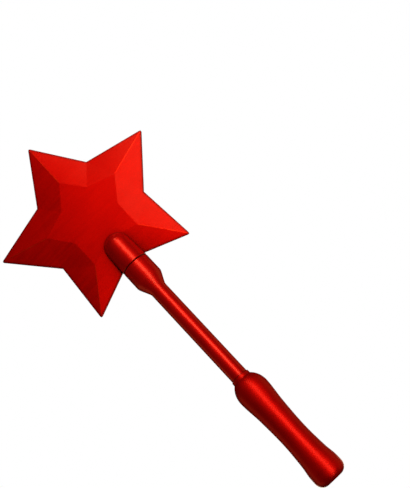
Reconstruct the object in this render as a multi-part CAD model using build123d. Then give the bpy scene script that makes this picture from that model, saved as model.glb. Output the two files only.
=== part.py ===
from build123d import *
import os
from math import cos, radians, sin, sqrt

# Faceted star wand, in millimetres.
# +Z runs up the wand from the flat end of the grip, where the origin is.
# The star stands in the XZ plane on top, and its front faces -Y.

# Lengths along the wand, from the flat end up
grip_length = 86.0
stick_length = 79.0         # the part that shows, grip to shoulder
shoulder_length = 8.6       # the cone between stick and collar
collar_length = 14.2
seam_to_star_centre = 45.2

# Star: ten corners on the mid-plane and ten on each flat face
star_tip_radius = 69.0
star_notch_radius = 39.5
face_tip_radius = 33.6
face_notch_radius = 20.9
face_height = 4.0           # mid-plane to flat face
rim_height = 0.6            # straight part of the star's edge, mid-plane to first facet
shell_wall = 1.6
arms = 5

# Boss and collar share one diameter, so the seam between them is flush
boss_radius = 10.0
boss_length = 16.8          # seam to the centre of its dome
seam_gap = 0.3
seam_chamfer = 0.35

# Locating pegs inside the star
peg_circle_radius = 38.0
peg_radius = 1.5
peg_length = 1.5
peg_socket_wall = 1.4
peg_clearance = 0.1

# Spigot on top of the stem, trapped by the two shells
spigot_radius = 5.8
spigot_length = 14.0
spigot_fit = 0.05
flange_radius = 7.4
flange_thickness = 2.2
flange_below_top = 2.6      # top of the spigot to the top of the flange
flange_side_clearance = 0.3
flange_end_clearance = 0.1
spigot_top_clearance = 0.4

# Stem
stick_radius = 6.0
stem_bore_radius = 3.9
stem_top_wall = 2.0
shoulder_round = 3.0
stick_in_grip = 30.0

# Grip outline: radii at the bulge, the waist and the flare, and their heights
bulge_radius = 11.3
bulge_z = 73.2
bulge_rise = 13.2           # height of the quarter ellipse over the bulge
waist_radius = 9.15
waist_z = 36.5
flare_radius = 11.1
flare_z = 9.0
upper_mid_radius = 9.95
upper_mid_z = 57.2
lower_mid_radius = 9.95
lower_mid_z = 19.2
grip_bore_radius = 7.2
stick_fit = 0.05
mouth_chamfer = 0.4

# End cap: closes the grip and carries its rounded end
cap_corner_radius = 6.0
cap_seam_gap = 0.15
cap_skirt_length = 11.0
cap_skirt_wall = 1.6
cap_floor = 2.4
cap_fit = 0.05

# Derived sizes
shoulder_bottom_z = grip_length + stick_length
shoulder_top_z = shoulder_bottom_z + shoulder_length
seam_z = shoulder_top_z + collar_length
star_centre_z = seam_z + seam_to_star_centre
boss_dome_z = seam_z + boss_length
face_step = face_height - rim_height
spigot_top_z = seam_z + spigot_length
grip_socket_floor_z = grip_length - stick_in_grip
cap_top_z = flare_z - cap_seam_gap
FRONT = -1
BACK = 1


def star_ring(tip_radius, notch_radius, y):
    """The star's corners at depth y, starting at the top tip."""
    corners = []
    for i in range(2 * arms):
        radius = notch_radius if i % 2 else tip_radius
        turn = radians(180.0 / arms * i)
        corners.append(Vector(radius * sin(turn), y, star_centre_z + radius * cos(turn)))
    return corners


def flat_face(corners):
    return Face(Wire.make_polygon(corners, close=True))


def faceted_half(side, rim, top):
    """Half a star on one side of the mid-plane: a straight rim, sloping facets, a flat face."""
    edge = star_ring(star_tip_radius, star_notch_radius, side * rim)
    face = star_ring(face_tip_radius, face_notch_radius, side * top)
    faces = [flat_face(face)]
    if rim > 0:
        base = star_ring(star_tip_radius, star_notch_radius, 0)
        faces.append(flat_face(base))
    else:
        base = edge
        faces.append(flat_face(edge))
    for i in range(2 * arms):
        j = (i + 1) % (2 * arms)
        if rim > 0:
            faces.append(flat_face([base[i], base[j], edge[j], edge[i]]))
        tip, notch = (j, i) if i % 2 else (i, j)
        faces.append(flat_face([edge[tip], edge[notch], face[tip]]))
        faces.append(flat_face([face[tip], edge[notch], face[notch]]))
    return Solid(Shell(faces))


def upright(radius, bottom, top):
    """A cylinder on the wand's axis."""
    height = top - bottom
    return Pos(0, 0, bottom + height / 2) * Cylinder(radius, height)


def half_space(side):
    """Everything on one side of the mid-plane."""
    reach = 2 * star_tip_radius
    return Pos(0, side * reach, star_centre_z) * Box(4 * reach, 2 * reach, 4 * reach)


def peg_places():
    places = []
    for k in range(arms):
        turn = radians(360.0 / arms * k)
        places.append((peg_circle_radius * sin(turn), star_centre_z + peg_circle_radius * cos(turn)))
    return places


def crosswise(radius, x, z, start, end):
    """A cylinder along Y between two depths."""
    depth = end - start
    return Pos(x, start + depth / 2, z) * Rot(90, 0, 0) * Cylinder(radius, abs(depth))


def boss_outside():
    """A round boss with a domed top and a small chamfer at the seam."""
    bottom = seam_z + seam_gap
    rod = upright(boss_radius, bottom, boss_dome_z)
    rod = chamfer(rod.edges().group_by(Axis.Z)[0], seam_chamfer)
    return rod + Pos(0, 0, boss_dome_z) * Sphere(boss_radius)


def boss_inside():
    """The bore for the spigot and the groove that holds its flange."""
    bore = upright(spigot_radius + spigot_fit, seam_z - 1, spigot_top_z + spigot_top_clearance)
    flange_top = spigot_top_z - flange_below_top
    groove_top = flange_top + flange_end_clearance
    groove_bottom = flange_top - flange_thickness - flange_end_clearance
    return bore + upright(flange_radius + flange_side_clearance, groove_bottom, groove_top)


def collar_relief():
    """Room under the lower arms for the collar to turn in."""
    return upright(boss_radius + seam_gap, shoulder_bottom_z, seam_z + seam_gap)


def star_shell(side):
    """One half of the star, hollow, with half of the boss on it."""
    outside = faceted_half(side, rim_height, face_height)
    hollow = Pos(0, -side * (shell_wall - rim_height), 0) * faceted_half(side, 0, face_step)
    shell = outside - hollow
    post_radius = peg_radius + (peg_socket_wall if side == BACK else 0)
    for x, z in peg_places():
        shell += crosswise(post_radius, x, z, 0, side * face_height) & outside
    shell += boss_outside() & half_space(side)
    shell -= boss_inside()
    shell -= collar_relief()
    for x, z in peg_places():
        if side == FRONT:
            shell += crosswise(peg_radius, x, z, 0, peg_length)
        else:
            shell -= crosswise(peg_radius + peg_clearance, x, z, 0, peg_length + peg_clearance)
    return shell


def turned(points):
    """A solid of revolution about the wand's axis from an outline of (radius, height)."""
    outline = Polyline([(r, 0, z) for r, z in points], close=True)
    return revolve(make_face(outline), Axis.Z)


def stem():
    """Collar, stick and spigot in one piece, bored from below."""
    flange_top = spigot_top_z - flange_below_top
    body = turned([
        (0, grip_socket_floor_z),
        (stick_radius, grip_socket_floor_z),
        (stick_radius, shoulder_bottom_z),
        (boss_radius, shoulder_top_z),
        (boss_radius, seam_z - seam_chamfer),
        (boss_radius - seam_chamfer, seam_z),
        (0, seam_z),
    ])
    bends = []
    for edge in body.edges().filter_by(GeomType.CIRCLE):
        height = edge.center().Z
        if abs(height - shoulder_top_z) < 0.01 or abs(height - shoulder_bottom_z) < 0.01:
            bends.append(edge)
    body = fillet(bends, shoulder_round)
    body += upright(spigot_radius, seam_z, spigot_top_z)
    body += upright(flange_radius, flange_top - flange_thickness, flange_top)
    return body - upright(stem_bore_radius, grip_socket_floor_z - 1, spigot_top_z - stem_top_wall)


def grip():
    """The hand grip: bulge, waist and flare outside, stick socket and hollow inside."""
    mouth_radius = stick_radius + stick_fit + mouth_chamfer
    rise = grip_length - bulge_z
    top_radius = bulge_radius * sqrt(1 - (rise / bulge_rise) ** 2)
    top_width = max(top_radius, mouth_radius + mouth_chamfer)
    quarter = bulge_rise * sin(radians(45))
    shoulder = Spline(
        (top_width, 0, grip_length),
        (bulge_radius * cos(radians(45)), 0, bulge_z + quarter),
        (bulge_radius, 0, bulge_z),
        tangents=[(1, 0, -0.35), (0, 0, -1)],
    )
    side = Spline(
        (bulge_radius, 0, bulge_z),
        (upper_mid_radius, 0, upper_mid_z),
        (waist_radius, 0, waist_z),
        (lower_mid_radius, 0, lower_mid_z),
        (flare_radius, 0, flare_z),
        tangents=[(0, 0, -1), (0, 0, -1)],
    )
    closing = Polyline(
        (flare_radius, 0, flare_z),
        (grip_bore_radius, 0, flare_z),
        (grip_bore_radius, 0, grip_socket_floor_z - (grip_bore_radius - stem_bore_radius)),
        (stem_bore_radius, 0, grip_socket_floor_z),
        (stick_radius + stick_fit, 0, grip_socket_floor_z),
        (stick_radius + stick_fit, 0, grip_length - mouth_chamfer),
        (mouth_radius, 0, grip_length),
        (top_width, 0, grip_length),
    )
    return revolve(make_face(Curve() + [shoulder, side, closing]), Axis.Z)


def end_cap():
    """The rounded end of the grip, with a skirt that pushes into the hollow."""
    skirt_radius = grip_bore_radius - cap_fit
    skirt_top = cap_top_z + cap_skirt_length
    inset = cap_corner_radius * (1 - cos(radians(45)))
    corner = ThreePointArc(
        (flare_radius, 0, cap_corner_radius),
        (flare_radius - inset, 0, inset),
        (flare_radius - cap_corner_radius, 0, 0),
    )
    closing = Polyline(
        (flare_radius - cap_corner_radius, 0, 0),
        (0, 0, 0),
        (0, 0, cap_floor),
        (skirt_radius - cap_skirt_wall, 0, cap_floor),
        (skirt_radius - cap_skirt_wall, 0, skirt_top),
        (skirt_radius, 0, skirt_top),
        (skirt_radius, 0, cap_top_z),
        (flare_radius, 0, cap_top_z),
        (flare_radius, 0, cap_corner_radius),
    )
    return revolve(make_face(Curve() + [corner, closing]), Axis.Z)


def main():
    os.makedirs("parts", exist_ok=True)
    pieces = {
        "star_front_shell": star_shell(FRONT),
        "star_back_shell": star_shell(BACK),
        "stem": stem(),
        "grip": grip(),
        "end_cap": end_cap(),
    }
    for name, piece in pieces.items():
        export_step(piece, f"parts/{name}.step")


main()
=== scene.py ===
import math

import bmesh
import bpy
from mathutils import Matrix, Vector
from mathutils.geometry import intersect_point_line


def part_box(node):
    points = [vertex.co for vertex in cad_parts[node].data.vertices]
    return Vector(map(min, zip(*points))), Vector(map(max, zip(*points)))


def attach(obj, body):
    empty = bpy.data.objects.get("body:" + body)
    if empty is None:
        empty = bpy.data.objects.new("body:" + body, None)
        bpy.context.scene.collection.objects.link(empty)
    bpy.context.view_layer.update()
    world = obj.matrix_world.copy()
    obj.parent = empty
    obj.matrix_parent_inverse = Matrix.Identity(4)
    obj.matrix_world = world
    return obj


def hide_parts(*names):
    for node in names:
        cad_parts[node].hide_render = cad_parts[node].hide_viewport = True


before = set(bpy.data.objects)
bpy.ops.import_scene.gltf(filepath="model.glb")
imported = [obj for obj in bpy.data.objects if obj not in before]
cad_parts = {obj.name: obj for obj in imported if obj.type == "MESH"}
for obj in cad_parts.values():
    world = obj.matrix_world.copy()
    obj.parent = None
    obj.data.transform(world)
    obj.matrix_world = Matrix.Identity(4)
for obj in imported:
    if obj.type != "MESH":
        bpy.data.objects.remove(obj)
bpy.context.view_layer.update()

# Toy star wand, in metres. +Z runs up the wand, the star's front faces -Y.
MM = 0.001
ON_LEVEL = 0.001 * MM         # points nearer than this to a level lie on it

# Sizes taken from the frame
STAR_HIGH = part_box("star_back_shell")[1]
STEM_LOW, STEM_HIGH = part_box("stem")
GRIP_LOW, GRIP_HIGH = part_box("grip")
CAP_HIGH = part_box("end_cap")[1]

# Star
ARMS = 5
TIP_RADIUS = 69.0 * MM
NOTCH_RADIUS = 39.5 * MM
FACE_TIP_RADIUS = 33.6 * MM
FACE_NOTCH_RADIUS = 20.9 * MM
FACE_HEIGHT = 4.0 * MM
RIM_HEIGHT = 0.6 * MM
RIDGE_ROUND = 0.28 * MM
TIP_ROUND = 1.6 * MM
RIM_SHADE = 0.28 * MM         # rise of the facets over which the rim's dark edge fades out
SHELL_LINE = 0.12 * MM        # chamfer that shows as a fine line where the two shells meet
SHARP_RIDGE = math.radians(14)    # bends sharper than this get a painted highlight and a smoother finish
CROWN_RADIUS = 900.0 * MM     # the flat face bulges like a slice of a ball this big
CROWN_FLAT = 18.0 * MM        # and keeps its full height at this distance from its middle
CROWN_CELLS = 5
STAR_CENTRE_Z = STAR_HIGH.z - TIP_RADIUS

# Boss, collar and stick
BOSS_RADIUS = STEM_HIGH.x
SEAM_Z = 187.8 * MM
SEAM_GAP = 0.3 * MM
SEAM_CHAMFER = 0.5 * MM
BOSS_LENGTH = 16.8 * MM
DOME_Z = SEAM_Z + BOSS_LENGTH
DOME_STEPS = 24
STICK_RADIUS = 6.0 * MM
SPIGOT_RADIUS = 5.8 * MM
SHOULDER_LOW_Z = 165.0 * MM
SHOULDER_HIGH_Z = 173.6 * MM
SHOULDER_ROUND = 5.0 * MM
SHOULDER_STEPS = 6
STICK_RINGS = 8

# Grip and end cap
GRIP_TOP_Z = GRIP_HIGH.z
FLARE_Z = GRIP_LOW.z
FLARE_RADIUS = CAP_HIGH.x
BULGE_RADIUS = GRIP_HIGH.x
BULGE_Z = 73.2 * MM
BULGE_RISE = 13.2 * MM        # height of the quarter ellipse over the bulge
BULGE_STEPS = 20
WAIST_RADIUS = 9.15 * MM
WAIST_Z = 36.5 * MM
MID_RADIUS = 9.95 * MM
UPPER_MID_Z = 57.2 * MM
LOWER_MID_Z = 19.2 * MM
SIDE_STEPS = 14
GRIP_BORE_RADIUS = 7.2 * MM
PUSH_FIT = 0.05 * MM          # between stick and grip, and between skirt and grip
MOUTH_CHAMFER = 0.3 * MM
MOUTH_LAND = 0.6 * MM         # least width of plastic round the mouth
SOCKET_LEDGE = 1.9 * MM       # step in the bore that the stick rests on
HOLLOW_TAPER = 3.3 * MM       # height over which the hollow narrows below that step
CAP_CORNER = 6.0 * MM
CAP_CORNER_STEPS = 16
CAP_SEAM = 0.04 * MM
CAP_TOP_Z = FLARE_Z - CAP_SEAM
SKIRT_LENGTH = 11.0 * MM
SKIRT_WALL = 1.6 * MM
CAP_FLOOR = 2.4 * MM
GATE_RADIUS = 1.4 * MM        # dimple left by the moulding gate, in the middle of the end
GATE_DEPTH = 0.25 * MM

ROUND_STEPS = 128


# ---------------------------------------------------------------- meshes

def star_ring(tip, notch, y):
    """The star's ten corners at one depth, from the top tip round to the right."""
    ring = []
    for i in range(2 * ARMS):
        radius = notch if i % 2 else tip
        turn = math.pi / ARMS * i
        ring.append(Vector((radius * math.sin(turn), y, STAR_CENTRE_Z + radius * math.cos(turn))))
    return ring


def new_object(name, bm):
    bmesh.ops.recalc_face_normals(bm, faces=bm.faces[:])
    mesh = bpy.data.meshes.new(name)
    bm.to_mesh(mesh)
    bm.free()
    piece = bpy.data.objects.new(name, mesh)
    bpy.context.scene.collection.objects.link(piece)
    return piece


def smooth_below(piece, degrees):
    """Smooth shading across gentle bends, crisp across sharp ones."""
    mesh = piece.data
    mesh.shade_smooth()
    mesh.set_sharp_from_angle(angle=math.radians(degrees))


def crowned(bm, side):
    """Cuts the flat face into cells and gives it the slight crown that moulded panels have."""
    height = side * FACE_HEIGHT
    for normal, centre in (((1, 0, 0), 0), ((0, 0, 1), STAR_CENTRE_Z)):
        for k in range(-CROWN_CELLS, CROWN_CELLS + 1):
            place = centre + FACE_TIP_RADIUS * k / (CROWN_CELLS + 0.5)
            flat = [f for f in bm.faces if all(abs(v.co.y - height) < ON_LEVEL for v in f.verts)]
            edges = {e for f in flat for e in f.edges}
            verts = {v for f in flat for v in f.verts}
            bmesh.ops.bisect_plane(bm, geom=flat + list(edges) + list(verts), plane_no=normal,
                                   plane_co=(place * normal[0], 0, place * normal[2]))
    for v in bm.verts:
        rise = (abs(v.co.y) - RIM_HEIGHT) / (FACE_HEIGHT - RIM_HEIGHT)
        if rise > 0.5:
            reach = v.co.x**2 + (v.co.z - STAR_CENTRE_Z) ** 2
            v.co.y += side * rise * (CROWN_FLAT**2 - reach) / (2 * CROWN_RADIUS)


def star_half(side):
    """One half of the star: a thin rim, twenty sloping facets and the crowned face."""
    bm = bmesh.new()
    base = [bm.verts.new(p) for p in star_ring(TIP_RADIUS, NOTCH_RADIUS, 0)]
    edge = [bm.verts.new(p) for p in star_ring(TIP_RADIUS, NOTCH_RADIUS, side * RIM_HEIGHT)]
    flat_ring = star_ring(FACE_TIP_RADIUS, FACE_NOTCH_RADIUS, side * FACE_HEIGHT)
    flat = [bm.verts.new(p) for p in flat_ring]
    bm.faces.new(base)
    bm.faces.new(flat)
    for i in range(2 * ARMS):
        j = (i + 1) % (2 * ARMS)
        bm.faces.new([base[i], base[j], edge[j], edge[i]])
        tip, notch = (j, i) if i % 2 else (i, j)
        bm.faces.new([edge[tip], edge[notch], flat[tip]])
        bm.faces.new([flat[tip], edge[notch], flat[notch]])
    bmesh.ops.recalc_face_normals(bm, faces=bm.faces[:])
    centre = Vector((0, 0, STAR_CENTRE_Z))
    tips = []
    for e in bm.edges:
        on_rim = max(abs(v.co.y) for v in e.verts) < 2 * RIM_HEIGHT
        reach = min((Vector((v.co.x, 0, v.co.z)) - centre).length for v in e.verts)
        if on_rim and reach > NOTCH_RADIUS + MM:
            tips.append(e)
    bmesh.ops.bevel(bm, geom=tips, offset=TIP_ROUND, segments=2, profile=0.5, affect="EDGES")
    ridge = bm.faces.layers.float.new("ridge")
    bends = [e for e in bm.edges if min(abs(v.co.y) for v in e.verts) > RIM_HEIGHT / 2]
    sharp = []
    for e in bends:
        off_rim = max(abs(v.co.y) for v in e.verts) > 2 * RIM_HEIGHT
        if off_rim and e.calc_face_angle_signed() > SHARP_RIDGE:
            sharp.append([v.co.copy() for v in e.verts])
    made = bmesh.ops.bevel(bm, geom=bends, offset=RIDGE_ROUND, segments=2, profile=0.5, affect="EDGES")
    for face in made["faces"]:
        spot = face.calc_center_median()
        for one_end, other_end in sharp:
            foot, along = intersect_point_line(spot, one_end, other_end)
            if 0 < along < 1 and (spot - foot).length < RIDGE_ROUND:
                face[ridge] = 1.0
    crowned(bm, side)
    mid_edges = [e for e in bm.edges if max(abs(v.co.y) for v in e.verts) < ON_LEVEL]
    bmesh.ops.bevel(bm, geom=mid_edges, offset=SHELL_LINE, segments=1, profile=0.5, affect="EDGES")
    return new_object("star_half", bm)


def lathe(name, outline):
    """A closed solid of revolution about the wand's axis from (radius, height) points."""
    bm = bmesh.new()
    rings = []
    for radius, height in outline:
        if radius == 0:
            rings.append([bm.verts.new((0, 0, height))])
            continue
        ring = []
        for i in range(ROUND_STEPS):
            turn = 2 * math.pi * i / ROUND_STEPS
            ring.append(bm.verts.new((radius * math.cos(turn), radius * math.sin(turn), height)))
        rings.append(ring)
    for low, high in zip(rings, rings[1:] + rings[:1]):
        if len(low) == 1 and len(high) == 1:
            continue
        for i in range(ROUND_STEPS):
            j = (i + 1) % ROUND_STEPS
            corners = [low[i % len(low)], low[j % len(low)], high[j % len(high)], high[i % len(high)]]
            bm.faces.new(list(dict.fromkeys(corners)))
    return new_object(name, bm)


def arc(centre, radius, start, end, steps):
    """Points of an arc in (radius, height), angles in degrees from straight out."""
    points = []
    for i in range(steps + 1):
        turn = math.radians(start + (end - start) * i / steps)
        points.append((centre[0] + radius * math.cos(turn), centre[1] + radius * math.sin(turn)))
    return points


def flowing(points, start_slope, end_slope, steps):
    """A smooth curve through a few (height, radius) points: piecewise cubic, matched slopes."""
    slopes = [start_slope]
    for before, after in zip(points, points[2:]):
        slopes.append((after[1] - before[1]) / (after[0] - before[0]))
    slopes.append(end_slope)
    curve = []
    for k in range(len(points) - 1):
        (h0, r0), (h1, r1) = points[k], points[k + 1]
        span = h1 - h0
        for i in range(steps if k < len(points) - 2 else steps + 1):
            t = i / steps
            r = ((2 * t**3 - 3 * t**2 + 1) * r0 + (t**3 - 2 * t**2 + t) * span * slopes[k]
                 + (3 * t**2 - 2 * t**3) * r1 + (t**3 - t**2) * span * slopes[k + 1])
            curve.append((r, h0 + span * t))
    return curve


def boss():
    """Round boss with a domed top, full circle; each shell keeps its half."""
    bottom = SEAM_Z + SEAM_GAP
    outline = [
        (0, bottom),
        (BOSS_RADIUS - SEAM_CHAMFER, bottom),
        (BOSS_RADIUS, bottom + SEAM_CHAMFER),
    ]
    outline += arc((0, DOME_Z), BOSS_RADIUS, 0, 90, DOME_STEPS)[:-1]
    outline += [(0, DOME_Z + BOSS_RADIUS)]
    return lathe("boss", outline)


def keep_side(piece, side):
    """Cuts a closed mesh on the mid-plane and caps it."""
    bm = bmesh.new()
    bm.from_mesh(piece.data)
    cut = bmesh.ops.bisect_plane(
        bm, geom=bm.verts[:] + bm.edges[:] + bm.faces[:], plane_co=(0, 0, 0),
        plane_no=(0, -side, 0), clear_outer=True)
    rim = [e for e in cut["geom_cut"] if isinstance(e, bmesh.types.BMEdge)]
    bmesh.ops.holes_fill(bm, edges=rim)
    bmesh.ops.recalc_face_normals(bm, faces=bm.faces[:])
    bm.to_mesh(piece.data)
    bm.free()


def joined(piece, other):
    """One skin round both solids."""
    union = piece.modifiers.new("union", "BOOLEAN")
    union.operation = "UNION"
    union.solver = "EXACT"
    union.material_mode = "TRANSFER"
    union.object = other
    depsgraph = bpy.context.evaluated_depsgraph_get()
    whole = bpy.data.meshes.new_from_object(piece.evaluated_get(depsgraph))
    piece.modifiers.clear()
    piece.data = whole
    bpy.data.objects.remove(other)


def star_shell(name, side):
    """Half of the star with its half of the boss; the boss has the stem's finish."""
    piece = star_half(side)
    piece.name = name
    paint(piece, star_red)
    half_boss = boss()
    paint(half_boss, stem_red)
    keep_side(half_boss, side)
    bpy.context.view_layer.update()
    joined(piece, half_boss)
    smooth_below(piece, 7)
    return piece


def stem():
    """Collar, shoulder and stick, with the spigot that the star turns on."""
    angle = math.atan2(BOSS_RADIUS - STICK_RADIUS, SHOULDER_HIGH_Z - SHOULDER_LOW_Z)
    run = SHOULDER_ROUND * math.tan(angle / 2)
    degrees = math.degrees(angle)
    stick_top = SHOULDER_LOW_Z - run
    outline = [(0, STEM_LOW.z), (STICK_RADIUS, STEM_LOW.z)]
    for i in range(STICK_RINGS):
        outline.append((STICK_RADIUS, GRIP_TOP_Z + (stick_top - GRIP_TOP_Z) * i / STICK_RINGS))
    hollow_centre = (STICK_RADIUS + SHOULDER_ROUND, stick_top)
    round_centre = (BOSS_RADIUS - SHOULDER_ROUND, SHOULDER_HIGH_Z + run)
    outline += arc(hollow_centre, SHOULDER_ROUND, 180, 180 - degrees, SHOULDER_STEPS)
    outline += arc(round_centre, SHOULDER_ROUND, -degrees, 0, SHOULDER_STEPS)
    outline += [
        (BOSS_RADIUS, SEAM_Z - SEAM_CHAMFER),
        (BOSS_RADIUS - SEAM_CHAMFER, SEAM_Z),
        (SPIGOT_RADIUS, SEAM_Z),
        (SPIGOT_RADIUS, STEM_HIGH.z),
        (0, STEM_HIGH.z),
    ]
    return lathe("stem_moulding", outline)


def grip():
    """The hand grip: stick socket and hollow inside; bulge, waist and flare outside."""
    mouth = STICK_RADIUS + PUSH_FIT
    outline = [
        (GRIP_BORE_RADIUS, STEM_LOW.z - HOLLOW_TAPER),
        (mouth - SOCKET_LEDGE, STEM_LOW.z),
        (mouth, STEM_LOW.z),
        (mouth, GRIP_TOP_Z - MOUTH_CHAMFER),
        (mouth + MOUTH_CHAMFER, GRIP_TOP_Z),
    ]
    top_lean = math.asin((GRIP_TOP_Z - BULGE_Z) / BULGE_RISE)
    for i in range(BULGE_STEPS):
        lean = top_lean * (1 - i / BULGE_STEPS)
        radius = max(BULGE_RADIUS * math.cos(lean), mouth + MOUTH_LAND)
        outline.append((radius, BULGE_Z + BULGE_RISE * math.sin(lean)))
    side = flowing([
        (-BULGE_Z, BULGE_RADIUS),
        (-UPPER_MID_Z, MID_RADIUS),
        (-WAIST_Z, WAIST_RADIUS),
        (-LOWER_MID_Z, MID_RADIUS),
        (-FLARE_Z, FLARE_RADIUS),
    ], 0, 0, SIDE_STEPS)
    outline += [(r, -h) for r, h in side]
    outline += [(GRIP_BORE_RADIUS, FLARE_Z)]
    return lathe("hand_grip", outline)


def end_cap():
    """The rounded end of the grip, with the skirt that pushes into its hollow."""
    skirt = GRIP_BORE_RADIUS - PUSH_FIT
    skirt_top = CAP_TOP_Z + SKIRT_LENGTH
    outline = [
        (0, GATE_DEPTH),
        (0, CAP_FLOOR),
        (skirt - SKIRT_WALL, CAP_FLOOR),
        (skirt - SKIRT_WALL, skirt_top),
        (skirt, skirt_top),
        (skirt, CAP_TOP_Z),
        (FLARE_RADIUS, CAP_TOP_Z),
    ]
    outline += arc((FLARE_RADIUS - CAP_CORNER, CAP_CORNER), CAP_CORNER, 0, -90, CAP_CORNER_STEPS)
    outline += [(GATE_RADIUS + GATE_DEPTH, 0), (GATE_RADIUS, GATE_DEPTH)]
    return lathe("grip_end", outline)


# ---------------------------------------------------------------- materials

NOISE_SPAN = {"From Min": 0.3, "From Max": 0.7}     # where most values of a noise pattern lie


def linear(hex_colour):
    """sRGB hex to linear RGBA."""
    channels = [int(hex_colour[i:i + 2], 16) / 255 for i in (1, 3, 5)]
    return tuple(c / 12.92 if c <= 0.04045 else ((c + 0.055) / 1.055) ** 2.4 for c in channels) + (1.0,)


def node(tree, kind, settings=None, links=None):
    """Adds one node: its properties and socket values, and links from other nodes' sockets."""
    made = tree.nodes.new(kind)
    for key, value in (settings or {}).items():
        if isinstance(key, str) and hasattr(made, key):
            setattr(made, key, value)
        else:
            made.inputs[key].default_value = value
    for key, source in (links or {}).items():
        tree.links.new(source, made.inputs[key])
    return made


def blank(name):
    """A material with nothing in it yet, and where each point lies on the wand, in metres."""
    material = bpy.data.materials.new(name)
    material.use_nodes = True
    tree = material.node_tree
    tree.nodes.clear()
    return material, tree, node(tree, "ShaderNodeTexCoord").outputs["Object"]


def per_mm(size):
    """Pattern scale that makes one unit this many millimetres."""
    return 1 / (size * MM)


def painted_corner_shade(tree, colour, reach, dark):
    """The colour with painted shade: darker in the corners, where surfaces meet within this reach."""
    corner = node(tree, "ShaderNodeAmbientOcclusion", {"samples": 8, "Distance": reach})
    depth = node(tree, "ShaderNodeMapRange",
                 {"From Min": 0.55, "From Max": 1.0, "To Min": 0.9, "To Max": 0.0},
                 {"Value": corner.outputs["AO"]})
    return node(tree, "ShaderNodeMix", {"data_type": "RGBA", 7: linear(dark)},
                {0: depth.outputs[0], 6: colour}).outputs[2]


def flecked(tree, place, colour, size, spread):
    """The colour with flakes of this size in mm, each a little lighter or darker than the next."""
    flake = node(tree, "ShaderNodeTexVoronoi", {"Scale": per_mm(size)}, {"Vector": place})
    shade = node(tree, "ShaderNodeSeparateColor", {}, {0: flake.outputs["Color"]})
    glint = node(tree, "ShaderNodeMapRange", {"To Min": 1 - spread, "To Max": 1 + spread},
                 {"Value": shade.outputs[0]})
    return node(tree, "ShaderNodeVectorMath", {"operation": "SCALE"},
                {0: colour, "Scale": glint.outputs[0]}).outputs[0]


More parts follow.
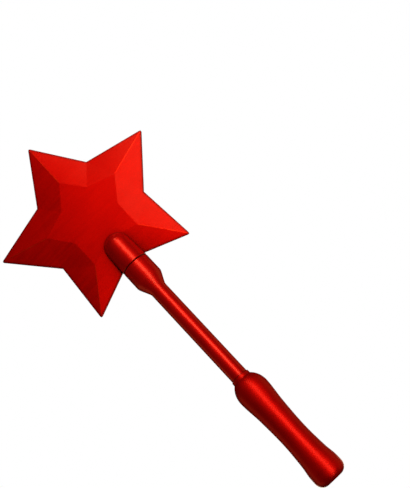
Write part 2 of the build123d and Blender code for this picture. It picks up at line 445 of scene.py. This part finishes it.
def pearl_red_star():
    # Pearl-red ABS, injection-moulded in a polished steel tool and left bare. The fine mica in
    # it gives a broad satin glow instead of a mirror, and the melt leaves faint bands across the
    # star. The sharp ridges carry a painted highlight, and the rim is darkened with painted shade.
    material, tree, place = blank("pearl_red_star")
    # Flow bands: 45 mm long and 2.6 mm apart, as the melt spreads sideways from the boss
    across = node(tree, "ShaderNodeMapping", {"Scale": (per_mm(45), per_mm(45), per_mm(2.6))},
                  {"Vector": place})
    bands = node(tree, "ShaderNodeTexNoise", {"Scale": 1.0, "Detail": 4.0, "Roughness": 0.6},
                 {"Vector": across.outputs[0]}).outputs["Fac"]
    # Broad clouds of more and less mica, about 18 mm across
    cloud = node(tree, "ShaderNodeTexNoise", {"Scale": per_mm(18), "Detail": 2.0},
                 {"Vector": place}).outputs["Fac"]
    ridge = node(tree, "ShaderNodeAttribute", {"attribute_name": "ridge"}).outputs["Fac"]
    # The painted highlight on the sharp ridges comes and goes every 6 mm or so
    ridge_light_noise = node(tree, "ShaderNodeTexNoise", {"Scale": per_mm(6), "Detail": 3.0}, {"Vector": place})
    ridge_light_depth = node(tree, "ShaderNodeMapRange", {**NOISE_SPAN, "To Min": 0.1, "To Max": 0.5},
                     {"Value": ridge_light_noise.outputs["Fac"]})
    painted_ridge_light = node(tree, "ShaderNodeMath", {"operation": "MULTIPLY"}, {0: ridge, 1: ridge_light_depth.outputs[0]})
    banding = node(tree, "ShaderNodeMapRange", NOISE_SPAN, {"Value": bands})
    body = node(tree, "ShaderNodeMix", {"data_type": "RGBA", 6: linear("#D80602"), 7: linear("#E40A03")},
                {0: banding.outputs[0]})
    clouding = node(tree, "ShaderNodeMapRange", {**NOISE_SPAN, "To Max": 0.5}, {"Value": cloud})
    clouded = node(tree, "ShaderNodeMix", {"data_type": "RGBA", 7: linear("#CE0402")},
                   {0: clouding.outputs[0], 6: body.outputs[2]})
    # Mica flakes are 0.05 mm; drawn ten times coarser, so that they show
    flaked = flecked(tree, place, clouded.outputs[2], 0.5, 0.05)
    # Painted shade darkens the corner where the boss meets the star, over 22 mm
    corner_shaded = painted_corner_shade(tree, flaked, 22 * MM, "#4A0201")
    # Painted highlight: the sharp ridges are lightened towards a bright orange
    ridge_lit = node(tree, "ShaderNodeMix", {"data_type": "RGBA", 7: linear("#FF3A18")},
                {0: painted_ridge_light.outputs[0], 6: corner_shaded})
    # Painted shade: the rim and the foot of the facets are darkened, fading out over RIM_SHADE
    depth = node(tree, "ShaderNodeSeparateXYZ", {}, {0: place})
    from_middle = node(tree, "ShaderNodeMath", {"operation": "ABSOLUTE"}, {0: depth.outputs["Y"]})
    painted_rim_shade = node(tree, "ShaderNodeMapRange", {
        "From Min": RIM_HEIGHT, "From Max": RIM_HEIGHT + RIM_SHADE, "To Min": 0.8, "To Max": 0.0},
        {"Value": from_middle.outputs[0]})
    rim_shaded = node(tree, "ShaderNodeMix", {"data_type": "RGBA", 7: linear("#6A0302")},
                 {0: painted_rim_shade.outputs[0], 6: ridge_lit.outputs[2]})
    gloss = node(tree, "ShaderNodeMapRange", {**NOISE_SPAN, "To Min": 0.57, "To Max": 0.65},
                 {"Value": bands})
    # A sharp ridge is also smoother
    polished = node(tree, "ShaderNodeMix", {3: 0.5}, {0: ridge, 2: gloss.outputs[0]})
    # The bands stand 0.03 mm proud, and the skin ripples by a third of that every 4 mm
    banded = node(tree, "ShaderNodeBump", {"Strength": 1.0, "Distance": 0.03 * MM}, {"Height": bands})
    ripple = node(tree, "ShaderNodeTexNoise", {"Scale": per_mm(4), "Detail": 1.0}, {"Vector": place})
    skin = node(tree, "ShaderNodeBump", {"Strength": 1.0, "Distance": 0.01 * MM},
                {"Height": ripple.outputs["Fac"], "Normal": banded.outputs[0]})
    shader = node(tree, "ShaderNodeBsdfPrincipled", {
        "Metallic": 0.96, "Specular IOR Level": 0.1, "Coat Weight": 0.09, "Coat Roughness": 0.26},
        {"Base Color": rim_shaded.outputs[2], "Roughness": polished.outputs[0], "Normal": skin.outputs[0],
         "Coat Normal": skin.outputs[0]})
    node(tree, "ShaderNodeOutputMaterial", {}, {"Surface": shader.outputs[0]})
    return material


def lacquered_red_stem():
    # ABS moulding sprayed with red metallic lacquer and a clear coat. The clear coat gives one
    # long bright streak down the side, the metal flake under it a wider red one, and the polishing
    # of the mould leaves hairline marks along its length.
    material, tree, place = blank("lacquered_red_stem")
    # Polishing lines: 70 mm long and 0.6 mm apart round the stick
    along = node(tree, "ShaderNodeMapping", {"Scale": (per_mm(0.6), per_mm(0.6), per_mm(70))},
                 {"Vector": place})
    lines = node(tree, "ShaderNodeTexNoise", {"Scale": 1.0, "Detail": 3.0},
                 {"Vector": along.outputs[0]}).outputs["Fac"]
    # Spray builds up unevenly over patches of 9 mm
    spray = node(tree, "ShaderNodeTexNoise", {"Scale": per_mm(9), "Detail": 3.0},
                 {"Vector": place}).outputs["Fac"]
    built = node(tree, "ShaderNodeMapRange", NOISE_SPAN, {"Value": spray})
    body = node(tree, "ShaderNodeMix", {"data_type": "RGBA", 6: linear("#C40302"), 7: linear("#D20502")},
                {0: built.outputs[0]})
    # Metal flake is 0.03 mm; drawn at 0.4 mm, so that it shows
    flaked = flecked(tree, place, body.outputs[2], 0.4, 0.04)
    # Painted shade darkens the joints, over 5 mm
    corner_shaded = painted_corner_shade(tree, flaked, 5 * MM, "#3A0201")
    gloss = node(tree, "ShaderNodeMapRange", {**NOISE_SPAN, "To Min": 0.42, "To Max": 0.49},
                 {"Value": lines})
    lined = node(tree, "ShaderNodeBump", {"Strength": 1.0, "Distance": 0.0012 * MM}, {"Height": lines})
    # Orange peel, 1.8 mm from crest to crest
    peel = node(tree, "ShaderNodeTexNoise", {"Scale": per_mm(1.8), "Detail": 2.0}, {"Vector": place})
    skin = node(tree, "ShaderNodeBump", {"Strength": 1.0, "Distance": 0.0015 * MM},
                {"Height": peel.outputs["Fac"], "Normal": lined.outputs[0]})
    shader = node(tree, "ShaderNodeBsdfPrincipled", {
        "Metallic": 0.74, "Specular IOR Level": 0.1, "Coat Weight": 0.3, "Coat Roughness": 0.23},
        {"Base Color": corner_shaded, "Roughness": gloss.outputs[0], "Normal": skin.outputs[0],
         "Coat Normal": skin.outputs[0]})
    node(tree, "ShaderNodeOutputMaterial", {}, {"Surface": shader.outputs[0]})
    return material


def satin_red_grip():
    # ABS grip sprayed with the same red metallic lacquer, with only a thin clear coat. The hand
    # has polished the bulge and the flare a little, the two mould halves leave a parting line
    # down each side, and the skin has a fine orange peel.
    material, tree, place = blank("satin_red_grip")
    # Handling marks: patches 6 mm across and 14 mm long down the grip
    rubbing = node(tree, "ShaderNodeMapping", {"Scale": (per_mm(6), per_mm(6), per_mm(14))},
                   {"Vector": place})
    marks = node(tree, "ShaderNodeTexNoise", {"Scale": 1.0, "Detail": 4.0},
                 {"Vector": rubbing.outputs[0]}).outputs["Fac"]
    patched = node(tree, "ShaderNodeMapRange", NOISE_SPAN, {"Value": marks})
    body = node(tree, "ShaderNodeMix", {"data_type": "RGBA", 6: linear("#BF0302"), 7: linear("#CD0402")},
                {0: patched.outputs[0]})
    # Metal flake is 0.03 mm; drawn at 0.4 mm, so that it shows
    flaked = flecked(tree, place, body.outputs[2], 0.4, 0.04)
    # Painted shade darkens the mouth round the stick, over 8 mm
    corner_shaded = painted_corner_shade(tree, flaked, 8 * MM, "#3A0201")
    # Parting line: a low ridge on the mid-plane, 0.2 mm wide on top and 0.6 mm at its foot
    sides = node(tree, "ShaderNodeSeparateXYZ", {}, {0: place})
    off_plane = node(tree, "ShaderNodeMath", {"operation": "ABSOLUTE"}, {0: sides.outputs["Y"]})
    parting = node(tree, "ShaderNodeMapRange", {
        "From Min": 0.1 * MM, "From Max": 0.3 * MM, "To Min": 1.0, "To Max": 0.0},
        {"Value": off_plane.outputs[0]})
    lined = node(tree, "ShaderNodeBump", {"Strength": 0.6, "Distance": 0.03 * MM},
                 {"Height": parting.outputs[0]})
    # Orange peel, 1.4 mm from crest to crest
    peel = node(tree, "ShaderNodeTexNoise", {"Scale": per_mm(1.4), "Detail": 3.0}, {"Vector": place})
    skin = node(tree, "ShaderNodeBump", {"Strength": 1.0, "Distance": 0.0015 * MM},
                {"Height": peel.outputs["Fac"], "Normal": lined.outputs[0]})
    gloss = node(tree, "ShaderNodeMapRange", {**NOISE_SPAN, "To Min": 0.46, "To Max": 0.53},
                 {"Value": marks})
    shader = node(tree, "ShaderNodeBsdfPrincipled", {
        "Metallic": 0.79, "Specular IOR Level": 0.1, "Coat Weight": 0.08, "Coat Roughness": 0.27},
        {"Base Color": corner_shaded, "Roughness": gloss.outputs[0], "Normal": skin.outputs[0],
         "Coat Normal": skin.outputs[0]})
    node(tree, "ShaderNodeOutputMaterial", {}, {"Surface": shader.outputs[0]})
    return material


def pale_floor():
    # Matt painted board: a rolled coat of off-white emulsion, whose stipple takes the shine off.
    material, tree, place = blank("pale_floor")
    # Roller stipple is about 1 mm; drawn at 4 mm, so that it shows
    stipple = node(tree, "ShaderNodeTexNoise", {"Scale": per_mm(4), "Detail": 3.0}, {"Vector": place})
    tone = node(tree, "ShaderNodeMix", {"data_type": "RGBA", 6: linear("#EDF0F4"), 7: linear("#F2F5F9")},
                {0: stipple.outputs["Fac"]})
    rolled = node(tree, "ShaderNodeBump", {"Strength": 0.3, "Distance": 0.1 * MM},
                  {"Height": stipple.outputs["Fac"]})
    shader = node(tree, "ShaderNodeBsdfPrincipled", {"Roughness": 0.8},
                  {"Base Color": tone.outputs[2], "Normal": rolled.outputs[0]})
    node(tree, "ShaderNodeOutputMaterial", {}, {"Surface": shader.outputs[0]})
    return material


def paint(piece, material):
    piece.data.materials.clear()
    piece.data.materials.append(material)


# ---------------------------------------------------------------- the wand

star_red = pearl_red_star()
stem_red = lacquered_red_stem()
grip_red = satin_red_grip()

front = star_shell("star_front", -1)
back = star_shell("star_back", 1)
stick = stem()
handle = grip()
cap = end_cap()
for piece in (stick, handle, cap):
    smooth_below(piece, 30)

paint(stick, stem_red)
paint(handle, grip_red)
paint(cap, grip_red)

for piece, body, cad, slot in (
    (front, "star", "star_front_shell", "star_plastic"),
    (back, "star", "star_back_shell", "star_plastic"),
    (stick, "handle", "stem", "stem_plastic"),
    (handle, "handle", "grip", "grip_plastic"),
    (cap, "end_cap", "end_cap", "grip_plastic"),
):
    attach(piece, body)
    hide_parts(cad)


# ---------------------------------------------------------------- studio

WAND_MIDDLE = Vector((0, 0, 0.15))    # what the lights stand round and point at
FLOOR_DROP = 0.16                     # floor below the grip's end: the wand is held, not set down
FLOOR_RADIUS = 2.0
FLOOR_STEPS = 96
WASH_STRENGTH = 1.9
WASH_SPREAD = math.radians(40)
SEEN_AIR = 1.0                        # brightness of the studio where the camera sees past the floor
LIT_AIR = 0.25                        # what it gives the wand as soft light
MIRRORED_AIR = 0.007                  # and what it shows in the gloss

# Camera: square on to the star but a little below it, with the wand lying across the picture
CAMERA_PLACE = Vector((36.32, -616.55, 4.35)) * MM
CAMERA_AIM = Vector((42.73, 0.0, 165.11)) * MM
CAMERA_ROLL = math.radians(43.94)
SENSOR_WIDTH = 36.0                   # mm, as Blender takes it
FOCAL_LENGTH = 71.4


def area_light(name, place, width, height, watts, colour):
    """A rectangular lamp pointed at the middle of the wand."""
    lamp = bpy.data.lights.new(name, "AREA")
    lamp.shape = "RECTANGLE"
    lamp.size = width
    lamp.size_y = height
    lamp.energy = watts
    lamp.color = colour
    light = bpy.data.objects.new(name, lamp)
    bpy.context.scene.collection.objects.link(light)
    light.location = place
    light.rotation_mode = "QUATERNION"
    light.rotation_quaternion = (WAND_MIDDLE - place).to_track_quat("-Z", "Y")
    light.visible_camera = False
    return light


def around(azimuth, elevation, distance):
    """A place round the wand's middle: azimuth 0 is straight in front, positive to the right."""
    a, e = math.radians(azimuth), math.radians(elevation)
    out = Vector((math.sin(a) * math.cos(e), -math.cos(a) * math.cos(e), math.sin(e)))
    return WAND_MIDDLE + distance * out


# Name, place, width and height in metres, watts, colour
wand_lights = [
    area_light("key_strip", around(26.4, -4.1, 0.305), 0.11, 1.42, 2.6, (1.0, 0.87, 0.42)),
    area_light("right_side", around(110, -14, 0.722), 0.494, 1.075, 0.62, (1.0, 0.85, 0.25)),
    area_light("left_side", around(-103.6, -17.1, 0.77), 0.426, 1.006, 0.59, (1.0, 0.82, 0.3)),
    area_light("behind", around(180, -18, 0.7), 0.8, 0.18, 1.3, (1.0, 0.85, 0.5)),
]

world = bpy.data.worlds.new("studio_air")
bpy.context.scene.world = world
world.use_nodes = True
tree = world.node_tree
tree.nodes.clear()
white = (1, 1, 1, 1)
ray = node(tree, "ShaderNodeLightPath")
seen = node(tree, "ShaderNodeBackground", {"Color": white, "Strength": SEEN_AIR})
lit = node(tree, "ShaderNodeBackground", {"Color": white, "Strength": LIT_AIR})
mirrored = node(tree, "ShaderNodeBackground", {"Color": white, "Strength": MIRRORED_AIR})
unseen = node(tree, "ShaderNodeMixShader", {},
              {0: ray.outputs["Is Glossy Ray"], 1: lit.outputs[0], 2: mirrored.outputs[0]})
air = node(tree, "ShaderNodeMixShader", {},
           {0: ray.outputs["Is Camera Ray"], 1: unseen.outputs[0], 2: seen.outputs[0]})
node(tree, "ShaderNodeOutputWorld", {}, {"Surface": air.outputs[0]})

floor_mesh = bmesh.new()
bmesh.ops.create_circle(floor_mesh, cap_ends=True, segments=FLOOR_STEPS, radius=FLOOR_RADIUS)
floor = new_object("studio_floor", floor_mesh)
floor.location.z = -FLOOR_DROP
paint(floor, pale_floor())
floor.visible_glossy = False
floor.visible_diffuse = False


def floor_only(light, state):
    """EXCLUDE keeps this light off the floor; INCLUDE keeps it for the floor alone."""
    group = bpy.data.collections.new(light.name + "_floor")
    group.objects.link(floor)
    group.collection_objects[0].light_linking.link_state = state
    light.light_linking.receiver_collection = group


for light in wand_lights:
    floor_only(light, "EXCLUDE")
wash = bpy.data.objects.new("floor_wash", bpy.data.lights.new("floor_wash", "SUN"))
wash.data.energy = WASH_STRENGTH
wash.data.angle = WASH_SPREAD
bpy.context.scene.collection.objects.link(wash)
floor_only(wash, "INCLUDE")

camera_data = bpy.data.cameras.new("camera")
camera_data.sensor_width = SENSOR_WIDTH
camera_data.lens = FOCAL_LENGTH
camera = bpy.data.objects.new("camera", camera_data)
bpy.context.scene.collection.objects.link(camera)
camera.location = CAMERA_PLACE
upright = (CAMERA_AIM - CAMERA_PLACE).to_track_quat("-Z", "Y").to_matrix().to_4x4()
camera.matrix_world = Matrix.Translation(CAMERA_PLACE) @ upright @ Matrix.Rotation(-CAMERA_ROLL, 4, "Z")
bpy.context.scene.camera = camera
bpy.context.scene.view_settings.view_transform = "Standard"
